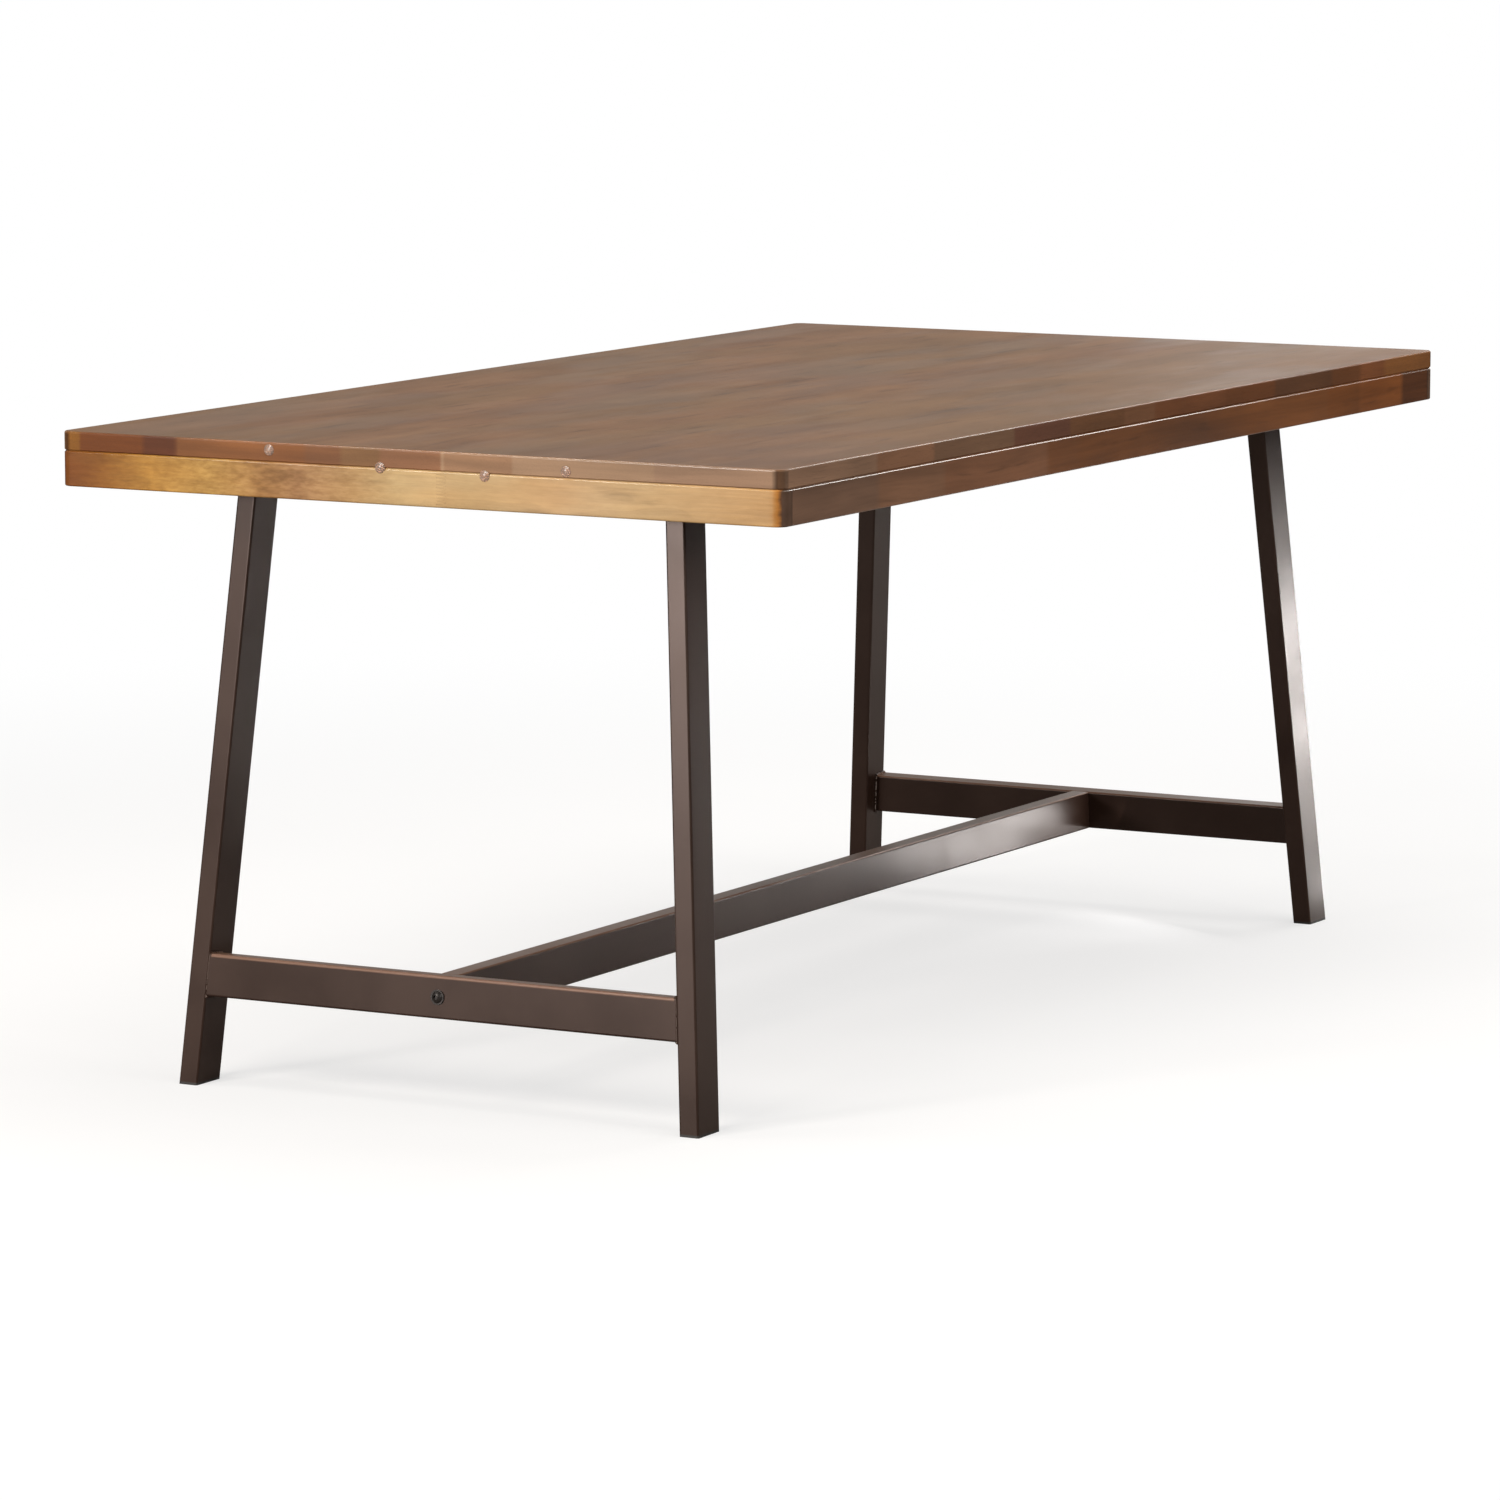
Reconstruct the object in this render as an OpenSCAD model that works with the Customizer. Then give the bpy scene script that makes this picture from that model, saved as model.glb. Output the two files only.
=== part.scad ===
// Butcher block table: a glued-up stave top with a band built up under its edge,
// on two welded end frames of splayed rectangular tube joined by one low stretcher.
// +Z is up, +X runs along the length, and the origin is on the floor under the middle of the top.

/* [Top] */
// Length of the top
top_l = 1800; // [1300:10:2400]
// Width of the top
top_w = 950; // [750:10:1200]
// Height of the table, floor to top
table_h = 762; // [680:1:1000]
// Thickness of the stave slab
slab_t = 22.5; // [18:0.5:40]
// Number of staves glued side by side
stave_n = 21; // [12:1:26]
// Radius of the vertical corners of the top
corner_r = 14; // [6:1:18]
// Radius of the eased upper edge
arris_r = 2.5; // [1:0.5:4]

/* [Edge band] */
// Height of the band under the slab
band_h = 41.5; // [25:0.5:70]
// Thickness of the band boards
band_t = 20; // [20:1:35]
// Chamfer of the slab's lower edge, the upper side of the groove
groove_upper = 1.5; // [0.5:0.5:3]
// Chamfer of the band's upper edge, the lower side of the groove
groove_lower = 2; // [0.5:0.5:3]
// Radius of the band's lower edge
band_arris_r = 2; // [1:0.5:4]
// Finger joint in the front band, from the middle, towards +Y
finger_y = -39; // [-200:1:200]
// Length of the fingers
finger_l = 12; // [8:1:20]
// Number of fingers in the height of the band
finger_n = 11; // [6:1:16]
// Blunt tip of each finger
finger_tip = 0.5; // [0.3:0.1:1]
// Glue line between the fingers, along the board
glue_gap = 0.4; // [0.2:0.1:0.8]

/* [Legs] */
// Width of the leg tube, across the table
leg_w = 25; // [20:1:50]
// Depth of the leg tube, along the table
leg_d = 50; // [40:1:80]
// Wall of all the tubes
wall_t = 1.5; // [1.2:0.1:3]
// Outer corner radius of all the tubes
tube_r = 2.5; // [2:0.5:5]
// Lean of the end frames, out towards the ends
lean = 5; // [0:0.5:8]
// Splay of the legs in the plane of an end frame
splay = 4.2; // [0:0.1:7]
// Setback of a foot's outer face from the end of the top
foot_inset_x = 39; // [0:1:120]
// Setback of a foot's outer face from the side of the top
foot_inset_y = 128; // [40:1:200]

/* [Crossbars and stretcher] */
// Height of a crossbar's lower face, along the frame
bar_z = 105.5; // [80:0.5:300]
// Height of the crossbar tube
bar_h = 50; // [40:1:70]
// Depth of the crossbar tube
bar_d = 25; // [20:1:40]
// Width of the stretcher tube
stretcher_w = 25; // [25:1:50]
// Height of the stretcher tube
stretcher_h = 50; // [40:1:70]

/* [Stretcher bolts] */
// Diameter of the bolt
bolt_d = 8; // [6:1:10]
// Diameter of the button head
bolt_head_d = 14; // [11:0.5:18]
// Height of the button head
bolt_head_h = 4.4; // [3:0.1:6]
// Size of the hexagon socket, across its flats
socket_af = 5; // [3:1:6]
// Depth of the hexagon socket
socket_depth = 2.6; // [1.5:0.1:3]
// Outside diameter of the bolt's washer
bolt_washer_d = 17.5; // [16:0.5:24]
// Thickness of the bolt's washer
bolt_washer_t = 1.6; // [1:0.1:2.5]
// Thickness of the plate welded in each end of the stretcher
nut_plate_t = 4; // [3:0.5:8]
// Height of the weld nut behind that plate
nut_h = 6.5; // [5:0.5:9]
// Weld nut, across its flats
nut_af = 13; // [13:0.5:15]
// Bolt thread standing out behind the nut
bolt_proud = 3; // [1:0.5:8]

/* [Top rails] */
// Thickness of the flat top rails
rail_t = 5; // [4:0.5:10]
// Width of the top rails
rail_w = 80; // [76:1:120]
// Rail left beyond the outermost screw
rail_end = 20; // [12:1:40]
// Distance of the screws from the leg beside them
screw_gap = 24; // [12:1:40]
// Distance of the middle screws from the centre line
mid_screw_y = 90; // [40:1:150]
// Slot travel for each screw, across the staves
slot_travel = 4; // [2:0.5:8]
// Diameter of the mounting screws
screw_d = 6; // [5:1:8]
// Screw head, across its flats
screw_head_af = 10; // [9:1:13]
// Height of the screw head
screw_head_h = 4; // [3:0.5:6]
// Outside diameter of the screw washers
screw_washer_d = 18; // [16:0.5:24]
// Thickness of the screw washers
screw_washer_t = 1.6; // [1:0.1:2.5]
// Outside diameter of the threaded inserts
insert_d = 10; // [9.5:0.5:13]
// Length of the threaded inserts
insert_l = 13; // [8:0.5:15]

/* [Feet and bumpers] */
// Thickness of a foot cap under the tube
cap_t = 3; // [2:0.5:8]
// Height of the plug inside the tube
plug_h = 14; // [8:1:25]
// Wall of the hollow plug
plug_wall = 2; // [1.5:0.5:4]
// Diameter of the domed bumpers on the front end
bumper_d = 13; // [8:0.5:16]
// Height of the domed bumpers
bumper_h = 2.2; // [1:0.1:3]

/* [Clearances] */
// Clearance of a bolt or screw in a plain hole, all round
hole_clear = 0.4; // [0.2:0.1:1]
// Clearance between a bolt's and a nut's thread, all round
thread_clear = 0.05; // [0.02:0.01:0.1]
// Clearance of a plug or plate inside a tube, all round
tube_clear = 0.3; // [0.1:0.1:0.6]

/* [Hidden] */
$fn = 48;
front = -1;
rear = 1;
right = -1;
left = 1;
sides = [front, rear];
hands = [left, right];
// How far a cutting shape runs past the faces that it cuts
past = 1;
// Smallest corner radius inside a tube or on a plug
least_r = 0.5;
// Chamfer of a bolt's tip, as a share of its diameter
tip_share = 1 / 8;
// Room left between a screw's tip and the end of its insert
screw_tip_gap = 1;

stained_wood = "#7d583c";
honey_wood = "#c79c63";
bronze_paint = "#4a3b34";
zinc = "#b9bcc0";
brass = "#b8955a";
black_plastic = "#1d1c1b";
clear_plastic = "#d9c3b2";

half_l = top_l / 2;
half_w = top_w / 2;
stave_w = top_w / stave_n;
slab_z = table_h - slab_t;
band_z = slab_z - band_h;
leg_top_z = slab_z - rail_t;

foot_x = half_l - foot_inset_x;
foot_y = half_w - foot_inset_y;
inner_r = max(tube_r - wall_t, least_r);
bar_top = bar_z + bar_h;
bolt_z = bar_top - min(bar_h, stretcher_h) / 2;
bar_inner_top_z = bar_top * cos(lean) - bar_d * sin(lean);
stretcher_z = bar_inner_top_z - stretcher_h;
tube_overrun = leg_d + leg_w;

rail_mid_x = leg_face_x(leg_top_z) - leg_d / cos(lean) / 2;
leg_top_outer_y = leg_outer_y(leg_top_z / cos(lean));
leg_top_inner_y = leg_inner_y(leg_top_z / cos(lean));
screw_ys = [
    for (hand = hands)
        for (y = [leg_top_outer_y + screw_gap, leg_top_inner_y - screw_gap, mid_screw_y])
            hand * y
];

// Places of the bumpers on the front end: [towards +Y from the middle, down from the top]
bumper_sites = [[189, 9], [41, 22], [-96, 25], [-201, 15]];

stave_names = [for (i = [1 : stave_n]) str("stave_", i < 10 ? "0" : "", i)];
leg_names = [for (side = sides) for (hand = hands) str("leg_", end_name(side), "_", hand_name(hand))];
cap_names = [for (side = sides) for (hand = hands) str("foot_cap_", end_name(side), "_", hand_name(hand))];
bumper_names = [for (i = [1 : len(bumper_sites)]) str("edge_bumper_", i)];

function end_name(side) = side == front ? "front" : "rear";
function hand_name(hand) = hand == left ? "left" : "right";

// Outer face of the leaning legs, towards the end, at height z above the floor
function leg_face_x(z) = foot_x - z * tan(lean);
// Outer and inner faces of the splayed legs, at height h along the leaning frame
function leg_outer_y(h) = foot_y - h * tan(splay);
function leg_inner_y(h) = leg_outer_y(h) - leg_w / cos(splay);
// Inner face of a crossbar, where the stretcher meets it, at height z above the floor
function stretcher_end_x(z) = foot_x - bar_d / cos(lean) - z * tan(lean);

// ---- Placing ----

// Drawn for the front end, and mirrored for the rear one
module at_end(side) {
    if (side == front)
        children();
    else
        mirror([1, 0, 0]) children();
}

// Drawn for the left side, and mirrored for the right one
module at_hand(hand) {
    if (hand == left)
        children();
    else
        mirror([0, 1, 0]) children();
}

// The leaning plane of an end frame: x in from its outer face, y across, z up along it
module in_frame(side) {
    at_end(side) translate([-foot_x, 0, 0]) rotate([0, lean, 0]) children();
}

// A leg's own axes: x in from its end face, y = 0 on its outer side face, z up along it
module in_leg(side, hand) {
    in_frame(side) at_hand(hand) translate([0, foot_y, 0]) rotate([splay, 0, 0]) children();
}

// Everything between two heights above the floor
module between(z_low, z_high) {
    translate([-top_l, -top_w, z_low]) cube([2 * top_l, 2 * top_w, z_high - z_low]);
}

// An outline in X and Z, drawn out along Y about the middle
module along_y(length) {
    translate([0, length / 2, 0]) rotate([90, 0, 0]) linear_extrude(length) children();
}

// An outline in Y and Z, drawn out along X about the middle
module along_x(length) {
    translate([-length / 2, 0, 0]) rotate([90, 0, 90]) linear_extrude(length) children();
}

// ---- Shared shapes ----

module rounded_rect(size, r) {
    translate([r, 0]) square([size.x - 2 * r, size.y]);
    translate([0, r]) square([size.x, size.y - 2 * r]);
    for (x = [r, size.x - r])
        for (y = [r, size.y - r])
            translate([x, y]) circle(r);
}

module tube_section(size) {
    difference() {
        rounded_rect(size, tube_r);
        translate([wall_t, wall_t]) rounded_rect(size - 2 * [wall_t, wall_t], inner_r);
    }
}

// Half of an edge-worked board's section, from its middle out to its edge
module edge_section(reach, z_low, z_high, round_high, round_low, bevel_high, bevel_low) {
    difference() {
        translate([0, z_low]) square([reach, z_high - z_low]);
        if (round_high > 0)
            translate([reach - round_high, z_high - round_high]) corner_waste(round_high);
        if (round_low > 0)
            translate([reach - round_low, z_low + round_low]) mirror([0, 1]) corner_waste(round_low);
        if (bevel_high > 0)
            polygon([[reach - bevel_high, z_high], [reach, z_high], [reach, z_high - bevel_high]]);
        if (bevel_low > 0)
            polygon([[reach - bevel_low, z_low], [reach, z_low], [reach, z_low + bevel_low]]);
    }
}

module corner_waste(r) {
    difference() {
        square(r);
        circle(r);
    }
}

module slab_edge(reach) {
    edge_section(reach, slab_z, table_h, arris_r, 0, 0, groove_upper);
}

module band_edge(reach) {
    edge_section(reach, band_z, slab_z, 0, band_arris_r, groove_lower, 0);
}

module both_ways() {
    children();
    mirror([1, 0]) children();
}

// ---- Top ----

// The whole slab, with its corners rounded and its edge worked all round
module slab_blank() {
    along_x(top_l - 2 * corner_r) both_ways() slab_edge(half_w);
    along_y(top_w - 2 * corner_r) both_ways() slab_edge(half_l);
    for (x = [-1, 1])
        for (y = [-1, 1])
            translate([x * (half_l - corner_r), y * (half_w - corner_r), 0])
                rotate_extrude() slab_edge(corner_r);
}

// Holes for the threaded inserts that lie in one strip of the slab
module insert_holes(y_low, y_high) {
    for (side = sides)
        for (y = screw_ys)
            if (y + insert_d / 2 > y_low && y - insert_d / 2 < y_high)
                at_end(side) translate([-rail_mid_x, y, slab_z - past]) cylinder(d = insert_d, h = insert_l + past);
}

module stave(i) {
    y_low = half_w - i * stave_w;
    color(stained_wood) difference() {
        intersection() {
            slab_blank();
            translate([-half_l, y_low, slab_z]) cube([top_l, stave_w, slab_t]);
        }
        insert_holes(y_low, y_low + stave_w);
    }
}

// ---- Edge band ----

// An end board, full width, with the corners of the top rounded on it
module end_board(side) {
    corner_y = half_w - corner_r;
    at_end(side) intersection() {
        union() {
            along_y(2 * corner_y) mirror([1, 0]) band_edge(half_l);
            along_x(2 * (half_l - corner_r)) both_ways() band_edge(half_w);
            for (y = [-1, 1])
                translate([-half_l + corner_r, y * corner_y, 0]) rotate_extrude() band_edge(corner_r);
        }
        translate([-half_l, -half_w, band_z]) cube([band_t, top_w, band_h]);
    }
}

// Outline, in Y and Z, of what lies to the +Y side of the finger joint
function finger_edge(shift) = [
    for (k = [0 : finger_n - 1])
        let (pitch = band_h / finger_n, z = band_z + k * pitch, y_mid = finger_y + shift)
            each [
                [y_mid + finger_l / 2, z],
                [y_mid + finger_l / 2, z + finger_tip],
                [y_mid - finger_l / 2, z + pitch / 2],
                [y_mid - finger_l / 2, z + pitch / 2 + finger_tip]
            ]
];

module beyond_fingers(shift) {
    edge = finger_edge(shift);
    polygon(concat(edge, [[edge[0].x, slab_z], [half_w, slab_z], [half_w, band_z]]));
}

module band_front_long_block() {
    color(honey_wood) intersection() {
        end_board(front);
        along_x(top_l) beyond_fingers(glue_gap / 2);
    }
}

module band_front_short_block() {
    color(honey_wood) difference() {
        end_board(front);
        along_x(top_l + 2 * band_t) beyond_fingers(-glue_gap / 2);
    }
}

module band_rear() {
    color(honey_wood) end_board(rear);
}

module side_board(hand) {
    color(stained_wood) at_hand(hand) intersection() {
        along_x(top_l - 2 * band_t) band_edge(half_w);
        translate([-half_l, half_w - band_t, band_z]) cube([top_l, band_t, band_h]);
    }
}

// ---- End frames ----

module leg(side, hand) {
    color(bronze_paint) intersection() {
        between(cap_t, leg_top_z);
        in_leg(side, hand) translate([0, -leg_w, -tube_overrun])
            linear_extrude(table_h + 2 * tube_overrun) tube_section([leg_d, leg_w]);
    }
}

module foot_cap(side, hand) {
    gap = wall_t + tube_clear;
    plug = [leg_d, leg_w] - 2 * [gap, gap];
    bore = plug - 2 * [plug_wall, plug_wall];
    plug_r = max(inner_r - tube_clear, least_r);
    color(black_plastic) union() {
        intersection() {
            between(0, cap_t);
            in_leg(side, hand) translate([0, -leg_w, -tube_overrun])
                linear_extrude(2 * tube_overrun) rounded_rect([leg_d, leg_w], tube_r);
        }
        intersection() {
            between(cap_t, cap_t + plug_h);
            in_leg(side, hand) translate([gap, gap - leg_w, -tube_overrun])
                linear_extrude(2 * tube_overrun) difference() {
                    rounded_rect(plug, plug_r);
                    translate([plug_wall, plug_wall]) square(bore);
                }
        }
    }
}

module crossbar(side) {
    span = 2 * foot_y;
    color(bronze_paint) in_frame(side) difference() {
        intersection() {
            along_y(span) translate([0, bar_z]) tube_section([bar_d, bar_h]);
            along_x(2 * bar_d) polygon([
                [-leg_inner_y(bar_z), bar_z],
                [leg_inner_y(bar_z), bar_z],
                [leg_inner_y(bar_top), bar_top],
                [-leg_inner_y(bar_top), bar_top]
            ]);
        }
        translate([-past, 0, bolt_z]) rotate([0, 90, 0])
            cylinder(d = bolt_d + 2 * hole_clear, h = bar_d + 2 * past);
    }
}

module slot(d, travel, height) {
    for (y = [-1, 1])
        translate([0, y * travel / 2, 0]) cylinder(d = d, h = height);
    translate([-d / 2, -travel / 2, 0]) cube([d, travel, height]);
}

module top_rail(side) {
    half_span = leg_top_outer_y + screw_gap + rail_end;
    color(bronze_paint) at_end(side) translate([-rail_mid_x, 0, leg_top_z]) difference() {
        translate([-rail_w / 2, -half_span, 0]) cube([rail_w, 2 * half_span, rail_t]);
        for (y = screw_ys)
            translate([0, y, -past]) slot(screw_d + 2 * hole_clear, slot_travel, rail_t + 2 * past);
    }
}

// ---- Stretcher ----

module stretcher() {
    high = stretcher_z + stretcher_h;
    color(bronze_paint) intersection() {
        along_x(2 * foot_x) translate([-stretcher_w / 2, stretcher_z]) tube_section([stretcher_w, stretcher_h]);
        along_y(2 * stretcher_w) polygon([
            [-stretcher_end_x(stretcher_z), stretcher_z],
            [stretcher_end_x(stretcher_z), stretcher_z],
            [stretcher_end_x(high), high],
            [-stretcher_end_x(high), high]
        ]);
    }
}

// A hexagon of a given size across its flats
module hexagon(af, height) {
    cylinder(d = af / cos(30), h = height, $fn = 6);
}

// Plate closing the stretcher's mitred end, with the weld nut behind it.
// It leans with the crossbar, so its thickness takes a little off the height that fits in the level tube.
module nut_plate(side) {
    width = stretcher_w - 2 * (wall_t + tube_clear);
    high = bar_top - wall_t / cos(lean) - tube_clear;
    low = bar_top - (stretcher_h - wall_t) / cos(lean) + nut_plate_t * tan(lean) + tube_clear;
    color(zinc) in_frame(side) difference() {
        union() {
            translate([bar_d, -width / 2, low]) cube([nut_plate_t, width, high - low]);
            translate([bar_d + nut_plate_t, 0, bolt_z]) rotate([0, 90, 0]) hexagon(nut_af, nut_h);
        }
        translate([bar_d - past, 0, bolt_z]) rotate([0, 90, 0])
            cylinder(d = bolt_d + 2 * thread_clear, h = nut_plate_t + nut_h + 2 * past);
    }
}

module stretcher_bolt(side) {
    shank_l = bolt_washer_t + bar_d + nut_plate_t + nut_h + bolt_proud;
    dome_r = (pow(bolt_head_d / 2, 2) + pow(bolt_head_h, 2)) / (2 * bolt_head_h);
    tip = bolt_d * tip_share;
    color(zinc) in_frame(side) translate([-bolt_washer_t, 0, bolt_z]) rotate([0, 90, 0]) {
        cylinder(d = bolt_d, h = shank_l - tip);
        translate([0, 0, shank_l - tip]) cylinder(d1 = bolt_d, d2 = bolt_d - 2 * tip, h = tip);
        difference() {
            intersection() {
                translate([0, 0, dome_r - bolt_head_h]) sphere(dome_r);
                translate([0, 0, -bolt_head_h]) cylinder(d = 2 * bolt_head_d, h = bolt_head_h);
            }
            translate([0, 0, -bolt_head_h - past]) hexagon(socket_af, socket_depth + past);
        }
    }
}

module bolt_washer(side) {
    color(zinc) in_frame(side) translate([-bolt_washer_t, 0, bolt_z]) rotate([0, 90, 0])
        ring(bolt_washer_d, bolt_d + 2 * hole_clear, bolt_washer_t);
}

module ring(d_out, d_in, height) {
    difference() {
        cylinder(d = d_out, h = height);
        translate([0, 0, -past]) cylinder(d = d_in, h = height + 2 * past);
    }
}

// ---- Fixings between the rails and the slab ----

module at_screws() {
    for (side = sides)
        for (y = screw_ys)
            at_end(side) translate([-rail_mid_x, y, 0]) children();
}

module mounting_screws() {
    under = leg_top_z - screw_washer_t;
    color(zinc) at_screws() translate([0, 0, under]) {
        translate([0, 0, -screw_head_h]) hexagon(screw_head_af, screw_head_h);
        cylinder(d = screw_d, h = screw_washer_t + rail_t + insert_l - screw_tip_gap);
    }
}

module screw_washers() {
    color(zinc) at_screws() translate([0, 0, leg_top_z - screw_washer_t])
        ring(screw_washer_d, screw_d + 2 * hole_clear, screw_washer_t);
}

module threaded_inserts() {
    color(brass) at_screws() translate([0, 0, slab_z])
        ring(insert_d - 2 * thread_clear, screw_d + 2 * thread_clear, insert_l - thread_clear);
}

// ---- Bumpers ----

module edge_bumper(i) {
    site = bumper_sites[i];
    dome_r = (pow(bumper_d / 2, 2) + pow(bumper_h, 2)) / (2 * bumper_h);
    color(clear_plastic) translate([-half_l, site.x, table_h - site.y]) rotate([0, -90, 0]) intersection() {
        translate([0, 0, bumper_h - dome_r]) sphere(dome_r);
        cylinder(d = 2 * bumper_d, h = bumper_h);
    }
}

for (i = [1 : stave_n])
    stave(i);
band_front_long_block();
band_front_short_block();
band_rear();
side_board(left);  // band_left
side_board(right);  // band_right
for (side = sides)
    for (hand = hands) {
        part = str(end_name(side), "_", hand_name(hand));
        leg(side, hand);
        foot_cap(side, hand);
    }
for (side = sides) {
    crossbar(side);
    top_rail(side);
    nut_plate(side);
    stretcher_bolt(side);
    bolt_washer(side);
}
stretcher();
mounting_screws();
screw_washers();
threaded_inserts();
for (i = [1 : len(bumper_sites)])
    edge_bumper(i - 1);
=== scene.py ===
import math
import random

import bmesh
import bpy
from mathutils import Matrix, Vector


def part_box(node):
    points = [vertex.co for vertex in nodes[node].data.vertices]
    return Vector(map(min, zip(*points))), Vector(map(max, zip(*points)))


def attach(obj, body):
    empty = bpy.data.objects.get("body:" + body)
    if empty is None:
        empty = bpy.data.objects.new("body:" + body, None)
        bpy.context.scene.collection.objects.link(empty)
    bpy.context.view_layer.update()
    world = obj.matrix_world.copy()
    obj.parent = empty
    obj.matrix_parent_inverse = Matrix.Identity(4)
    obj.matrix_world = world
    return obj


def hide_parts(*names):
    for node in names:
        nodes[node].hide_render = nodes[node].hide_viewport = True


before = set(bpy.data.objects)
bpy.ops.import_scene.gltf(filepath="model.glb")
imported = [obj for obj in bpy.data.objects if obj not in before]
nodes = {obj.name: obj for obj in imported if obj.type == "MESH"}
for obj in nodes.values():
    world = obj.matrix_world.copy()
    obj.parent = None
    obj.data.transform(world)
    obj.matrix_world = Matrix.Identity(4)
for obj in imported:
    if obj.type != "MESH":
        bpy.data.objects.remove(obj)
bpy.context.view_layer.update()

# ---------------------------------------------------------------------------
# Camera: it stands off the front right corner of the table, a little above
# the top, and looks down along the length with a long lens.
# ---------------------------------------------------------------------------
camera_data = bpy.data.cameras.new("camera")
camera_data.lens = 169.175
camera_data.sensor_width = 36.0
camera_data.clip_start, camera_data.clip_end = 0.1, 200.0
camera = bpy.data.objects.new("camera", camera_data)
camera.location = (-7.6429, -4.1155, 1.5294)
camera.rotation_euler = (math.radians(90 - 7.994), 0.0, math.radians(-61.366))
bpy.context.scene.collection.objects.link(camera)
bpy.context.scene.camera = camera

# ---------------------------------------------------------------------------
# Legs, crossbars, stretcher and top rails: rectangular mild steel tube and
# flat bar, welded into two end frames, then sprayed with a satin dark bronze
# paint. The stretcher is painted on its own and bolted in afterwards.
# ---------------------------------------------------------------------------
steel_names = [f"leg_{end}_{hand}" for end in ("front", "rear") for hand in ("left", "right")]
steel_names += ["crossbar_front", "crossbar_rear", "stretcher", "top_rail_front", "top_rail_rear"]

bronze = (0.018, 0.0085, 0.0056)
bronze_mottle = (0.028, 0.0145, 0.0098)
# a lighter bronze, painted on the tops of the bars as a painted highlight
bronze_top_highlight = (0.20, 0.112, 0.076)
PAINT_ROUGHNESS = 0.29
# where that painted highlight lies: the heights of the bar tops, and its reach from the middle
HIGHLIGHT_LOW, HIGHLIGHT_HIGH, HIGHLIGHT_END = 0.1506, 0.160, 0.3075


def node(tree, kind, feeds=None, **settings):
    """One shader node: its settings, and its inputs as values or as other nodes' outputs."""
    made = tree.nodes.new(kind)
    for name, value in settings.items():
        setattr(made, name, value)
    for key, value in (feeds or {}).items():
        if isinstance(value, bpy.types.NodeSocket):
            tree.links.new(value, made.inputs[key])
        else:
            made.inputs[key].default_value = value
    return made


def sum_of(tree, operation, a, b=0.0, c=0.0):
    """The result of one Math node."""
    return node(tree, "ShaderNodeMath", {0: a, 1: b, 2: c}, operation=operation).outputs[0]


def eased(tree, value, low, high, to_low=0.0, to_high=1.0):
    """value eased from to_low at low up to to_high at high."""
    made = node(
        tree, "ShaderNodeMapRange", {0: value, 1: low, 2: high, 3: to_low, 4: to_high},
        interpolation_type="SMOOTHSTEP",
    )
    return made.outputs[0]


def mixed(tree, share, a, b, blend="MIX"):
    """Two colours mixed by share."""
    colours = {key: (*c, 1.0) if isinstance(c, tuple) and len(c) == 3 else c for key, c in ((6, a), (7, b))}
    return node(
        tree, "ShaderNodeMix", {0: share, **colours}, data_type="RGBA", blend_type=blend, clamp_factor=True
    ).outputs[2]


def cloud(tree, place, stretch, detail=3.0, turn=(0, 0, 0), shift=(0, 0, 0)):
    """Noise, 0 to 1, with so many lumps to the metre along each axis of place."""
    mapped = node(
        tree, "ShaderNodeMapping",
        {"Vector": place, "Scale": stretch, "Rotation": turn, "Location": shift},
    )
    return node(
        tree, "ShaderNodeTexNoise",
        {"Vector": mapped.outputs[0], "Scale": 1.0, "Detail": detail, "Roughness": 0.55},
    ).outputs[0]


def xyz_of(tree, place):
    """The x, y and z of a place."""
    return node(tree, "ShaderNodeSeparateXYZ", {0: place}).outputs


def new_group(name, inputs, outputs):
    """An empty node group with its sockets: returns the tree, its input node and its output node."""
    tree = bpy.data.node_groups.new(name, "ShaderNodeTree")
    for label, kind, value in inputs:
        socket = tree.interface.new_socket(label, in_out="INPUT", socket_type=kind)
        if value is not None:
            socket.default_value = value
    for label, kind in outputs:
        tree.interface.new_socket(label, in_out="OUTPUT", socket_type=kind)
    return tree, tree.nodes.new("NodeGroupInput"), tree.nodes.new("NodeGroupOutput")


def use_group(tree, group, feeds):
    """A node group placed in a material."""
    return node(tree, "ShaderNodeGroup", feeds, node_tree=group)


def new_material(name, shown):
    """A material with one Principled shader: returns it, its tree, its shader and the Object coordinates."""
    material = bpy.data.materials.new(name)
    material.use_nodes = True
    material.diffuse_color = (*shown, 1.0)
    tree = material.node_tree
    tree.nodes.clear()
    shader = tree.nodes.new("ShaderNodeBsdfPrincipled")
    output = tree.nodes.new("ShaderNodeOutputMaterial")
    tree.links.new(shader.outputs[0], output.inputs[0])
    place = tree.nodes.new("ShaderNodeTexCoord").outputs["Object"]
    return material, tree, shader, place


def feed_shader(tree, shader, colour, rough, normal):
    """Joins the three things that vary over every finish to its shader."""
    tree.links.new(colour, shader.inputs["Base Color"])
    tree.links.new(rough, shader.inputs["Roughness"])
    tree.links.new(normal, shader.inputs["Normal"])


def coat(names, material):
    """Gives CAD nodes a material."""
    for name in names:
        slots = nodes[name].data.materials
        slots.clear()
        slots.append(material)


# Fine skin of a sprayed or moulded surface: a slow mottle, a fine orange peel and a bump from both
skin, skin_in, skin_out = new_group(
    "fine_skin",
    [
        ("Vector", "NodeSocketVector", None), ("Peel", "NodeSocketFloat", 700.0),
        ("Strength", "NodeSocketFloat", 0.1),
    ],
    [("Mottle", "NodeSocketFloat"), ("Peel", "NodeSocketFloat"), ("Normal", "NodeSocketVector")],
)
skin_mottle = cloud(skin, skin_in.outputs["Vector"], (9, 9, 9), detail=4)
skin_peel = node(
    skin, "ShaderNodeTexNoise",
    {"Vector": skin_in.outputs["Vector"], "Scale": skin_in.outputs["Peel"], "Detail": 2.0},
).outputs[0]
skin_height = sum_of(skin, "MULTIPLY_ADD", skin_mottle, 0.6, skin_peel)
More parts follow.
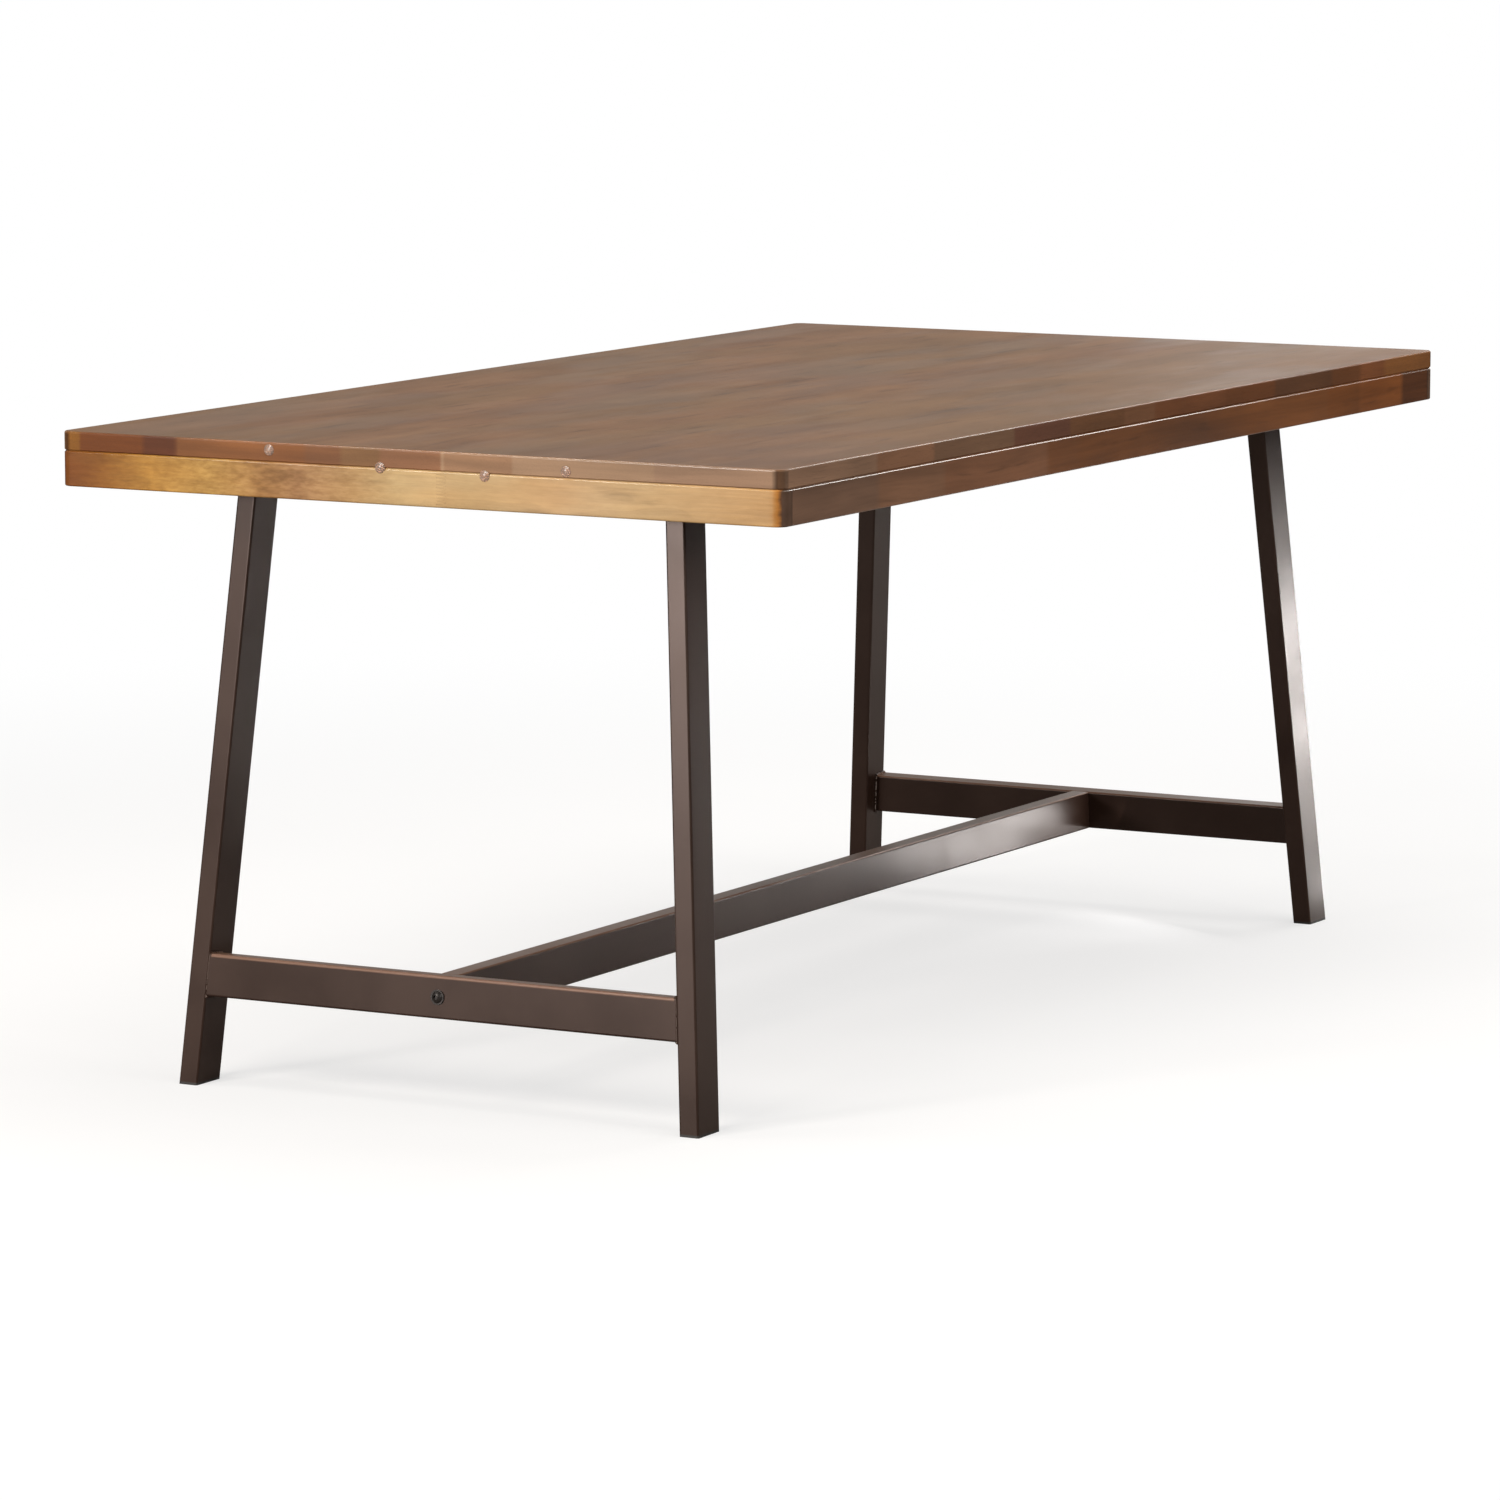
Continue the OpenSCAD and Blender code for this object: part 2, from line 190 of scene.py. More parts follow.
skin_bump = node(
    skin, "ShaderNodeBump",
    {"Strength": skin_in.outputs["Strength"], "Distance": 0.0004, "Height": skin_height},
)
skin.links.new(skin_mottle, skin_out.inputs["Mottle"])
skin.links.new(skin_peel, skin_out.inputs["Peel"])
skin.links.new(skin_bump.outputs[0], skin_out.inputs["Normal"])

paint, paint_tree, paint_shader, paint_place = new_material("bronze_paint", bronze)
paint_skin = use_group(paint_tree, skin, {"Vector": paint_place, "Peel": 620.0, "Strength": 0.10})
paint_tone = eased(paint_tree, paint_skin.outputs["Mottle"], 0.3, 0.75)
paint_colour = mixed(paint_tree, paint_tone, bronze, bronze_mottle)
# painted highlight: the tops of the crossbars and the stretcher, between the legs, are painted lighter for
# the light they catch
paint_xyz = xyz_of(paint_tree, paint_place)
top_highlight = sum_of(
    paint_tree, "MULTIPLY",
    eased(paint_tree, paint_xyz[2], HIGHLIGHT_LOW, HIGHLIGHT_LOW + 0.0014),
    eased(paint_tree, paint_xyz[2], HIGHLIGHT_HIGH, HIGHLIGHT_HIGH + 0.010, 1.0, 0.0),
)
between_legs = eased(
    paint_tree, sum_of(paint_tree, "ABSOLUTE", paint_xyz[1]), HIGHLIGHT_END, HIGHLIGHT_END + 0.0015, 0.85, 0.0
)
top_highlight = sum_of(paint_tree, "MULTIPLY", top_highlight, between_legs)
paint_colour = mixed(paint_tree, top_highlight, paint_colour, bronze_top_highlight)
paint_shader.inputs["Specular IOR Level"].default_value = 0.45
paint_shader.inputs["Specular Tint"].default_value = (1.0, 0.83, 0.76, 1.0)
paint_rough = eased(
    paint_tree, paint_skin.outputs["Mottle"], 0.25, 0.8, PAINT_ROUGHNESS, PAINT_ROUGHNESS + 0.06
)
feed_shader(paint_tree, paint_shader, paint_colour, paint_rough, paint_skin.outputs["Normal"])
coat(steel_names, paint)

# ---------------------------------------------------------------------------
# Weld beads: a run of weld round each end of a crossbar and round the top of
# each leg, under its rail. They are laid by hand in small ripples, dressed
# nearly flush on the outer face, and painted with the frame.
# ---------------------------------------------------------------------------
lean = math.radians(5.0)
splay = math.radians(4.2)
foot_x, foot_y = 0.861, 0.347
LEG_W, LEG_D = 0.025, 0.050
BAR_D, BAR_H, bar_z = 0.025, 0.050, 0.1055
TUBE_R = 0.0025
leg_top_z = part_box("top_rail_front")[0].z
CORNER_STEPS = 6
BEAD_STEP, BEAD_SIDES = 0.0014, 10
RIPPLE, RIPPLE_STEPS, WOBBLE = 0.13, 3, 0.04
BEAD_R, BEAD_R_FLUSH, BEAD_R_RAIL = 0.0022, 0.0010, 0.0023
BEAD_SUNK, BEAD_PROUD, BEAD_OFF, BEAD_UNDER_RAIL = 0.0006, 0.0002, 0.0003, 0.0006
DRESSED_W = 0.0012


def rounded_loop(width, depth, r, step):
    """Points round a rounded rectangle from the middle of its near side, each with its outward direction."""
    corners = [(width - r, r, -90), (width - r, depth - r, 0), (r, depth - r, 90), (r, r, 180)]
    line = [Vector((width / 2, 0))]
    for cx, cy, first in corners:
        for k in range(CORNER_STEPS + 1):
            a = math.radians(first + 90 / CORNER_STEPS * k)
            line.append(Vector((cx + r * math.cos(a), cy + r * math.sin(a))))
    line.append(Vector((width / 2, 0)))
    points = []
    for a, b in zip(line, line[1:]):
        count = max(1, round((b - a).length / step))
        along = (b - a).normalized()
        out = Vector((along.y, -along.x))
        points += [(a.lerp(b, k / count), out) for k in range(count)]
    return points + [(line[-1], Vector((0, -1)))]


def finished(name, bm, material, smooth=True):
    """A bmesh made into an object of the scene, with its material."""
    mesh = bpy.data.meshes.new(name)
    bm.to_mesh(mesh)
    bm.free()
    if smooth:
        mesh.shade_smooth()
    mesh.materials.append(material)
    piece = bpy.data.objects.new(name, mesh)
    bpy.context.scene.collection.objects.link(piece)
    return piece


def lay_bead(name, path, radii):
    """A rippled bead: one disc drawn along the path, swelling and shrinking as the weld puddles cool."""
    draw = random.Random(name)
    bm = bmesh.new()
    start, onward = path[0], (path[1] - path[0]).normalized()
    turn = onward.to_track_quat("Z", "X").to_matrix().to_4x4()
    bmesh.ops.create_circle(
        bm, cap_ends=True, segments=BEAD_SIDES, radius=radii[0], matrix=Matrix.Translation(start) @ turn
    )
    face = bm.faces[:][0]
    size = radii[0]
    for k in range(1, len(path)):
        grown = bmesh.ops.extrude_face_region(bm, geom=[face])
        ring = [v for v in grown["geom"] if isinstance(v, bmesh.types.BMVert)]
        face = [f for f in grown["geom"] if isinstance(f, bmesh.types.BMFace)][0]
        ripple = 1.0 + RIPPLE * abs(math.sin(k * math.pi / RIPPLE_STEPS)) + draw.uniform(-WOBBLE, WOBBLE)
        wanted = radii[k] * ripple
        ahead = (path[min(k + 1, len(path) - 1)] - path[k - 1]).normalized()
        swing = onward.rotation_difference(ahead).to_matrix().to_4x4()
        grow = Matrix.Scale(wanted / size, 4)
        bmesh.ops.transform(
            bm, verts=ring,
            matrix=Matrix.Translation(path[k]) @ swing @ grow @ Matrix.Translation(-path[k - 1]),
        )
        size, onward = wanted, ahead
    bmesh.ops.recalc_face_normals(bm, faces=bm.faces)
    bead = finished(name, bm, paint)
    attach(bead, "root")


for end, x_way in (("front", -1), ("rear", 1)):
    for hand, y_way in (("left", 1), ("right", -1)):
        # round the crossbar's end, where it butts on the leg's inner face
        path, radii = [], []
        for point, out in rounded_loop(BAR_D, BAR_H, TUBE_R, BEAD_STEP):
            flush = point.x < DRESSED_W
            off = -BEAD_SUNK if flush else BEAD_PROUD
            u, h = point.x + out.x * off, bar_z + point.y + out.y * off
            y = foot_y - h * math.tan(splay) - LEG_W / math.cos(splay) - (0.0 if flush else BEAD_OFF)
            x = foot_x - u * math.cos(lean) - h * math.sin(lean)
            path.append(Vector((x_way * x, y_way * y, h * math.cos(lean) - u * math.sin(lean))))
            radii.append(BEAD_R_FLUSH if flush else BEAD_R)
        lay_bead(f"weld_crossbar_{end}_{hand}", path, radii)
        # round the top of the leg, under the flat rail
        x_out = foot_x - leg_top_z * math.tan(lean)
        y_out = foot_y - leg_top_z / math.cos(lean) * math.tan(splay)
        path = []
        for point, out in rounded_loop(LEG_D / math.cos(lean), LEG_W / math.cos(splay), TUBE_R, BEAD_STEP):
            spot = point + out * BEAD_OFF
            x, y = x_out - spot.x, y_out - spot.y
            path.append(Vector((x_way * x, y_way * y, leg_top_z - BEAD_UNDER_RAIL)))
        lay_bead(f"weld_rail_{end}_{hand}", path, [BEAD_R_RAIL] * len(path))

# ---------------------------------------------------------------------------
# Foot caps: injection-moulded black polyethylene, pushed into the open lower
# end of each leg, with a fine spark-eroded texture.
# ---------------------------------------------------------------------------
cap_names = [f"foot_cap_{end}_{hand}" for end in ("front", "rear") for hand in ("left", "right")]
plastic, plastic_tree, plastic_shader, plastic_place = new_material("black_plastic", (0.02, 0.019, 0.018))
plastic_skin = use_group(plastic_tree, skin, {"Vector": plastic_place, "Peel": 1600.0, "Strength": 0.35})
plastic_tone = eased(plastic_tree, plastic_skin.outputs["Peel"], 0.3, 0.7)
plastic_colour = mixed(plastic_tree, plastic_tone, (0.016, 0.015, 0.014), (0.030, 0.028, 0.027))
plastic_rough = eased(plastic_tree, plastic_skin.outputs["Mottle"], 0.2, 0.8, 0.48, 0.62)
feed_shader(plastic_tree, plastic_shader, plastic_colour, plastic_rough, plastic_skin.outputs["Normal"])
coat(cap_names, plastic)

# ---------------------------------------------------------------------------
# Stretcher bolts, washers and nut plates: blackened socket screws through the
# crossbars into zinc-plated plates with a weld nut, closing the stretcher.
# ---------------------------------------------------------------------------
black_names = [f"{part}_{end}" for part in ("stretcher_bolt", "bolt_washer") for end in ("front", "rear")]
black, black_tree, black_shader, black_place = new_material("black_steel", (0.03, 0.028, 0.027))
black_skin = use_group(black_tree, skin, {"Vector": black_place, "Peel": 2600.0, "Strength": 0.18})
black_tone = eased(black_tree, black_skin.outputs["Peel"], 0.35, 0.8)
black_colour = mixed(black_tree, black_tone, (0.020, 0.018, 0.018), (0.060, 0.052, 0.048))
black_rough = eased(black_tree, black_skin.outputs["Peel"], 0.3, 0.7, 0.30, 0.42)
black_shader.inputs["Metallic"].default_value = 0.55
feed_shader(black_tree, black_shader, black_colour, black_rough, black_skin.outputs["Normal"])
coat(black_names, black)

zinc, zinc_tree, zinc_shader, zinc_place = new_material("zinc_steel", (0.5, 0.5, 0.5))
zinc_skin = use_group(zinc_tree, skin, {"Vector": zinc_place, "Peel": 1900.0, "Strength": 0.2})
zinc_tone = eased(zinc_tree, zinc_skin.outputs["Peel"], 0.3, 0.75)
zinc_colour = mixed(zinc_tree, zinc_tone, (0.36, 0.37, 0.38), (0.58, 0.58, 0.56))
zinc_rough = eased(zinc_tree, zinc_skin.outputs["Mottle"], 0.25, 0.75, 0.28, 0.46)
zinc_shader.inputs["Metallic"].default_value = 1.0
feed_shader(zinc_tree, zinc_shader, zinc_colour, zinc_rough, zinc_skin.outputs["Normal"])
coat(["nut_plate_front", "nut_plate_rear"], zinc)

# ---------------------------------------------------------------------------
# Slab: hardwood staves glued edge to edge, sanded flat as one, stained brown
# and sprayed with a satin lacquer that gathers a little on the edges.
# ---------------------------------------------------------------------------
stave_names = [f"stave_{i:02d}" for i in range(1, 22)]
half_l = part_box("band_rear")[1].x
half_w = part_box("stave_01")[1].y
slab_low, slab_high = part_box("stave_01")[0].z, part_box("stave_01")[1].z
stave_w = (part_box("stave_02")[1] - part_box("stave_02")[0]).y
BLOCK_L = 0.37
stain_dark = (0.105, 0.048, 0.023)
stain_mid = (0.165, 0.083, 0.042)
stain_light = (0.215, 0.118, 0.062)
stain_olive = (0.150, 0.092, 0.046)
ARRIS_END, ARRIS_SIDE, ARRIS_EASE = 0.0026, 0.0020, 0.0006
TURN_FROM, TURN_FULL = 0.0022, 0.0006
CORNER_FROM, CORNER_FULL = 0.0150, 0.0105
UNDER_FROM, UNDER_FULL = 0.0016, 0.0034

# The figure of one board whose grain runs along X: clouds, streaks, fibres, short dark marks and open pores
figure, figure_in, figure_out = new_group(
    "wood_figure",
    [("Vector", "NodeSocketVector", None)],
    [(label, "NodeSocketFloat") for label in ("Cloud", "Streak", "Fibre", "Mark", "Pore")],
)
figure_sway = cloud(figure, figure_in.outputs[0], (1.7, 3.5, 3.5), detail=2)
figure_sideways = node(figure, "ShaderNodeCombineXYZ", {1: figure_sway, 2: figure_sway})
figure_shift = node(
    figure, "ShaderNodeVectorMath", {0: figure_sideways.outputs[0], 1: (0, 0.05, 0.05)}, operation="MULTIPLY"
)
figure_place = node(
    figure, "ShaderNodeVectorMath", {0: figure_in.outputs[0], 1: figure_shift.outputs[0]}, operation="ADD"
).outputs[0]
for label, stretch, detail, low, high in (
    ("Cloud", (2.6, 8, 8), 3, 0.33, 0.67),
    ("Streak", (2.0, 52, 52), 4, 0.34, 0.66),
    ("Fibre", (8, 330, 330), 3, 0.3, 0.7),
    ("Mark", (9, 90, 90), 3, 0.575, 0.71),
    ("Pore", (26, 950, 950), 1, 0.60, 0.72),
):
    lumps = cloud(figure, figure_place, stretch, detail=detail)
    figure.links.new(eased(figure, lumps, low, high), figure_out.inputs[label])


def tone_run(tree, value, low, high, stops):
    """Colours along a length: stops are (place, colour), from low to high."""
    share = node(tree, "ShaderNodeMapRange", {0: value, 1: low, 2: high, 3: 0.0, 4: 1.0}).outputs[0]
    made = node(tree, "ShaderNodeValToRGB", {0: share})
    ramp = made.color_ramp
    ramp.interpolation = "LINEAR"
    placed = [((place - low) / (high - low), colour) for place, colour in stops]
    ramp.elements[0].position, ramp.elements[0].color = placed[0][0], (*placed[0][1], 1.0)
    ramp.elements[1].position, ramp.elements[1].color = placed[-1][0], (*placed[-1][1], 1.0)
    for position, colour in placed[1:-1]:
        ramp.elements.new(position).color = (*colour, 1.0)
    return made.outputs[0]


def times(tree, colour, factor):
    """A colour made lighter or darker by a factor."""
    grey = node(tree, "ShaderNodeCombineXYZ", {0: factor, 1: factor, 2: factor}).outputs[0]
    return node(tree, "ShaderNodeVectorMath", {0: colour, 1: grey}, operation="MULTIPLY").outputs[0]


def shaded(tree, colour, value, amount, middle=0.5):
    """A colour times a factor about 1, which swings by amount as value goes from 0 to 1."""
    swing = sum_of(tree, "SUBTRACT", value, middle)
    return times(tree, colour, sum_of(tree, "MULTIPLY_ADD", swing, amount, 1.0))


def near_edge(tree, distance, edge, start, full, most=1.0):
    """0 on the face, then eased up to most between start and full short of its edge."""
    return eased(tree, distance, edge - start, edge - full, 0.0, most)


def across_grain(tree, place):
    """Places turned for the figure of a face where the grain runs across the table."""
    return node(tree, "ShaderNodeMapping", {"Vector": place, "Rotation": (0, 0, math.radians(90))}).outputs[0]


def wood_bump(tree, wood):
    """Fibres and pores that the lacquer doesn't quite fill."""
    height = sum_of(tree, "MULTIPLY_ADD", wood["Pore"], -0.8, wood["Fibre"])
    return node(tree, "ShaderNodeBump", {"Strength": 0.12, "Distance": 0.0003, "Height": height}).outputs[0]


def hard_stops(pairs, ease=0.004):
    """Stops for boards of one tone each: pairs are (where the board begins, its colour)."""
    stops = [pairs[0]]
    for (_, before), (place, colour) in zip(pairs, pairs[1:]):
        stops += [(place - ease / 2, before), (place + ease / 2, colour)]
    return stops


slab, slab_tree, slab_shader, slab_place = new_material("stained_wood", stain_mid)
slab_xyz = xyz_of(slab_tree, slab_place)
# which stave, and which block along it
from_right = sum_of(slab_tree, "ADD", slab_xyz[1], half_w)
stave_number = sum_of(slab_tree, "FLOOR", sum_of(slab_tree, "DIVIDE", from_right, stave_w))
stave_draw = node(slab_tree, "ShaderNodeTexWhiteNoise", {"W": stave_number}, noise_dimensions="1D").outputs[0]
block_start = sum_of(slab_tree, "MULTIPLY", stave_draw, 7.0)
block_number = sum_of(
    slab_tree, "FLOOR", sum_of(slab_tree, "MULTIPLY_ADD", slab_xyz[0], 1 / BLOCK_L, block_start)
)
block_id = node(slab_tree, "ShaderNodeCombineXYZ", {0: stave_number, 1: block_number}).outputs[0]
block_draw = node(slab_tree, "ShaderNodeTexWhiteNoise", {"Vector": block_id}, noise_dimensions="2D").outputs
# the figure is drawn afresh in every block
block_shift = node(
    slab_tree, "ShaderNodeVectorMath", {0: block_draw[1], 1: (3.0, 5.0, 5.0)}, operation="MULTIPLY"
).outputs[0]
board_place = node(
    slab_tree, "ShaderNodeVectorMath", {0: slab_place, 1: block_shift}, operation="ADD"
).outputs[0]
board = use_group(slab_tree, figure, {"Vector": board_place}).outputs
whole = use_group(slab_tree, figure, {"Vector": slab_place}).outputs
tone = sum_of(slab_tree, "MULTIPLY_ADD", board["Cloud"], 0.12, 0.25)
tone = sum_of(slab_tree, "MULTIPLY_ADD", whole["Cloud"], 0.16, tone)
tone = sum_of(slab_tree, "MULTIPLY_ADD", block_draw[0], 0.14, tone)
tone = sum_of(slab_tree, "MULTIPLY_ADD", board["Streak"], 0.10, tone)
tone = sum_of(slab_tree, "MULTIPLY_ADD", board["Fibre"], 0.08, tone)
top_colour = tone_run(slab_tree, tone, 0.0, 1.0, [(0.1, stain_dark), (0.5, stain_mid), (0.9, stain_light)])
hue = cloud(slab_tree, slab_place, (1.9, 5, 5), detail=2, shift=(4, 9, 2))
top_colour = mixed(slab_tree, eased(slab_tree, hue, 0.42, 0.6, 0.0, 0.35), top_colour, stain_olive)
blotch = eased(slab_tree, cloud(slab_tree, slab_place, (6, 15, 15), detail=4, shift=(1, 6, 3)), 0.3, 0.7)
top_colour = shaded(slab_tree, top_colour, blotch, 0.20)
top_colour = shaded(slab_tree, top_colour, whole["Mark"], -0.30, 0.0)
# the ends, from the right side to the left; the thin light strip at -0.041 is a painted highlight
end_tones = tone_run(slab_tree, slab_xyz[1], -half_w, half_w, hard_stops([
    (-half_w, (0.070, 0.032, 0.016)), (-0.4660, (0.28, 0.170, 0.103)), (-0.313, (0.30, 0.187, 0.110)),
    (-0.132, (0.265, 0.148, 0.079)), (-0.0410, (0.38, 0.25, 0.15)), (-0.0385, (0.235, 0.108, 0.050)),
    (0.041, (0.200, 0.100, 0.040)), (0.093, (0.178, 0.074, 0.029)), (0.141, (0.195, 0.074, 0.023)),
    (0.215, (0.185, 0.070, 0.021)), (0.315, (0.100, 0.028, 0.008)), (0.360, (0.150, 0.043, 0.007)),
    (0.448, (0.210, 0.082, 0.009)), (0.464, (0.080, 0.026, 0.010)),
], 0.0024))
end_figure = use_group(slab_tree, figure, {"Vector": across_grain(slab_tree, slab_place)}).outputs
end_colour = shaded(slab_tree, end_tones, end_figure["Cloud"], 0.42)
end_colour = shaded(slab_tree, end_colour, end_figure["Streak"], 0.30)
# the long sides, from the front to the rear
side_tones = tone_run(slab_tree, slab_xyz[0], -half_l, half_l, hard_stops([
    (-half_l, (0.225, 0.130, 0.080)), (-0.679, (0.200, 0.098, 0.052)), (-0.540, (0.135, 0.073, 0.041)),
    (-0.334, (0.107, 0.044, 0.025)), (-0.188, (0.130, 0.056, 0.023)), (-0.038, (0.165, 0.072, 0.032)),
    (0.048, (0.150, 0.054, 0.019)), (0.249, (0.134, 0.047, 0.015)), (0.395, (0.096, 0.040, 0.017)),
    (0.570, (0.119, 0.043, 0.014)), (0.661, (0.180, 0.063, 0.021)), (0.738, (0.215, 0.085, 0.024)),
]))
side_colour = shaded(slab_tree, side_tones, whole["Cloud"], 0.35)
side_colour = shaded(slab_tree, side_colour, whole["Streak"], 0.25)
slab_along = sum_of(slab_tree, "ABSOLUTE", slab_xyz[0])
slab_across = sum_of(slab_tree, "ABSOLUTE", slab_xyz[1])
past_end = near_edge(slab_tree, slab_along, half_l, TURN_FROM, TURN_FULL)
past_side = near_edge(slab_tree, slab_across, half_w, TURN_FROM, TURN_FULL)
slab_colour = mixed(slab_tree, past_side, top_colour, side_colour)
slab_colour = mixed(slab_tree, past_end, slab_colour, end_colour)
slab_colour = shaded(slab_tree, slab_colour, board["Pore"], -0.18, 0.0)
slab_rough = eased(slab_tree, whole["Cloud"], 0.0, 1.0, 0.36, 0.44)
# the lacquer gathers along the upper arris and shines more there
past_edge = sum_of(slab_tree, "MAXIMUM", past_end, past_side)
on_arris = sum_of(
    slab_tree, "MAXIMUM",
    near_edge(slab_tree, slab_along, half_l, ARRIS_END, ARRIS_END - ARRIS_EASE, 0.75),
    near_edge(slab_tree, slab_across, half_w, ARRIS_SIDE, ARRIS_SIDE - ARRIS_EASE, 0.22),
)
upper = near_edge(slab_tree, slab_xyz[2], slab_high, ARRIS_END, ARRIS_END - ARRIS_EASE)
on_arris = sum_of(slab_tree, "MULTIPLY", upper, on_arris)
# and the rounded corners are painted darker: partly the end grain drinking more stain, partly painted shade
# on the turn of the corner
corner_stain_and_shade = sum_of(
    slab_tree, "MULTIPLY",
    near_edge(slab_tree, slab_along, half_l, CORNER_FROM, CORNER_FULL),
    near_edge(slab_tree, slab_across, half_w, CORNER_FROM, CORNER_FULL),
)
below_top = eased(slab_tree, slab_xyz[2], slab_high - UNDER_FROM, slab_high - UNDER_FULL)
corner_stain_and_shade = sum_of(slab_tree, "MULTIPLY", corner_stain_and_shade, below_top)
slab_colour = shaded(slab_tree, slab_colour, corner_stain_and_shade, -0.42, 0.0)
slab_rough = eased(slab_tree, past_edge, 0.0, 1.0, slab_rough, 0.50)
# painted highlight: the upper arris is also painted a little lighter
slab_colour = shaded(slab_tree, slab_colour, on_arris, 0.08, 0.0)
slab_shader.inputs["Specular IOR Level"].default_value = 0.22
slab_shader.inputs["Coat Roughness"].default_value = 0.16
slab_tree.links.new(on_arris, slab_shader.inputs["Coat Weight"])
feed_shader(slab_tree, slab_shader, slab_colour, slab_rough, wood_bump(slab_tree, board))
coat(stave_names, slab)

# ---------------------------------------------------------------------------
# Edge band, end boards: pale hardwood with its grain across the table, left
# nearly natural under the lacquer, and stained only where the rounded corners
# run on into the long sides. The front one is two blocks finger-jointed.
# ---------------------------------------------------------------------------
end_board_names = ["band_front_long_block", "band_front_short_block", "band_rear"]
band_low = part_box("band_left")[0].z
FINGER_Y, FINGER_L, FINGER_N, FINGER_TIP = -0.039, 0.012, 11, 0.0005
finger_pitch = (slab_low - band_low) / FINGER_N
LIP_FROM, LIP_FULL = 0.0021, 0.0017
STAIN_FROM, STAIN_FULL = 0.0046, 0.0032
WANDER = 0.007
BROAD_CURL, FINE_CURL, FLAME_SLANT = math.radians(34), math.radians(-28), math.radians(8)

honey, honey_tree, honey_shader, honey_place = new_material("honey_wood", (0.55, 0.36, 0.17))
honey_xyz = xyz_of(honey_tree, honey_place)
honey_figure = use_group(honey_tree, figure, {"Vector": across_grain(honey_tree, honey_place)}).outputs
honey_wander = sum_of(honey_tree, "SUBTRACT", cloud(honey_tree, honey_place, (40, 60, 120), detail=3), 0.5)
honey_y = sum_of(honey_tree, "MULTIPLY_ADD", honey_wander, WANDER, honey_xyz[1])
honey_tones = tone_run(honey_tree, honey_y, -half_w, half_w, [
    (-half_w, (0.085, 0.045, 0.026)), (-0.4715, (0.10, 0.050, 0.028)), (-0.4698, (0.30, 0.100, 0.020)),
    (-0.4670, (0.46, 0.20, 0.045)), (-0.4590, (0.49, 0.29, 0.115)), (-0.30, (0.47, 0.32, 0.155)),
    (-0.20, (0.48, 0.325, 0.17)), (-0.075, (0.46, 0.325, 0.16)), (-0.045, (0.46, 0.315, 0.15)),
    (0.02, (0.43, 0.305, 0.145)), (0.075, (0.37, 0.23, 0.095)), (0.12, (0.32, 0.185, 0.077)),
    (0.150, (0.27, 0.145, 0.060)), (0.20, (0.29, 0.155, 0.052)), (0.27, (0.36, 0.215, 0.058)),
    (0.35, (0.335, 0.172, 0.032)), (0.415, (0.215, 0.085, 0.012)), (0.4600, (0.17, 0.057, 0.009)),
    (half_w, (0.12, 0.045, 0.018)),
])
# silky cross figure in the left half of the board
curl_share = tone_run(honey_tree, honey_xyz[1], -half_w, half_w, [
    (-half_w, (0.15,) * 3), (0.0, (0.18,) * 3), (0.06, (0.55,) * 3), (0.14, (1.0,) * 3), (0.24, (1.0,) * 3),
    (0.33, (0.7,) * 3), (half_w, (0.35,) * 3),
])
curl_broad = eased(
    honey_tree, cloud(honey_tree, honey_place, (10, 20, 58), detail=4, turn=(BROAD_CURL, 0, 0)), 0.34, 0.66
)
curl_fine = eased(
    honey_tree, cloud(honey_tree, honey_place, (30, 80, 240), detail=3, turn=(FINE_CURL, 0, 0)), 0.3, 0.7
)
curl = sum_of(honey_tree, "MULTIPLY_ADD", curl_broad, 0.6, sum_of(honey_tree, "MULTIPLY", curl_fine, 0.4))
curl_swing = sum_of(honey_tree, "MULTIPLY", sum_of(honey_tree, "SUBTRACT", curl, 0.5), curl_share)
curl_factor = sum_of(honey_tree, "MULTIPLY_ADD", curl_swing, 0.62, 1.0)
curl_hue = mixed(honey_tree, curl, (0.98, 0.86, 0.66), (1.0, 1.02, 1.06))
honey_curled = mixed(honey_tree, 1.0, honey_tones, curl_hue, "MULTIPLY")
honey_colour = mixed(honey_tree, curl_share, honey_tones, honey_curled)
honey_colour = times(honey_tree, honey_colour, curl_factor)
# the short block of the front board is a shade browner, up to its zigzag end
finger_count = sum_of(honey_tree, "MULTIPLY_ADD", honey_xyz[2], 1 / finger_pitch, -band_low / finger_pitch)
finger_at = sum_of(honey_tree, "FRACT", finger_count)
finger_tri = sum_of(honey_tree, "ABSOLUTE", sum_of(honey_tree, "SUBTRACT", finger_at, 0.5))
finger_edge = sum_of(honey_tree, "MULTIPLY_ADD", finger_tri, 2 * FINGER_L, FINGER_Y - FINGER_L / 2)
past_joint = sum_of(honey_tree, "SUBTRACT", honey_xyz[1], finger_edge)
in_short = eased(honey_tree, past_joint, -0.0004, 0.0004, 1.0, 0.0)
near_joint = eased(honey_tree, sum_of(honey_tree, "ABSOLUTE", past_joint), 0.0, 0.0011, 1.0, 0.0)
honey_colour = shaded(honey_tree, honey_colour, in_short, -0.10, 0.0)
honey_colour = shaded(honey_tree, honey_colour, near_joint, -0.22, 0.0)
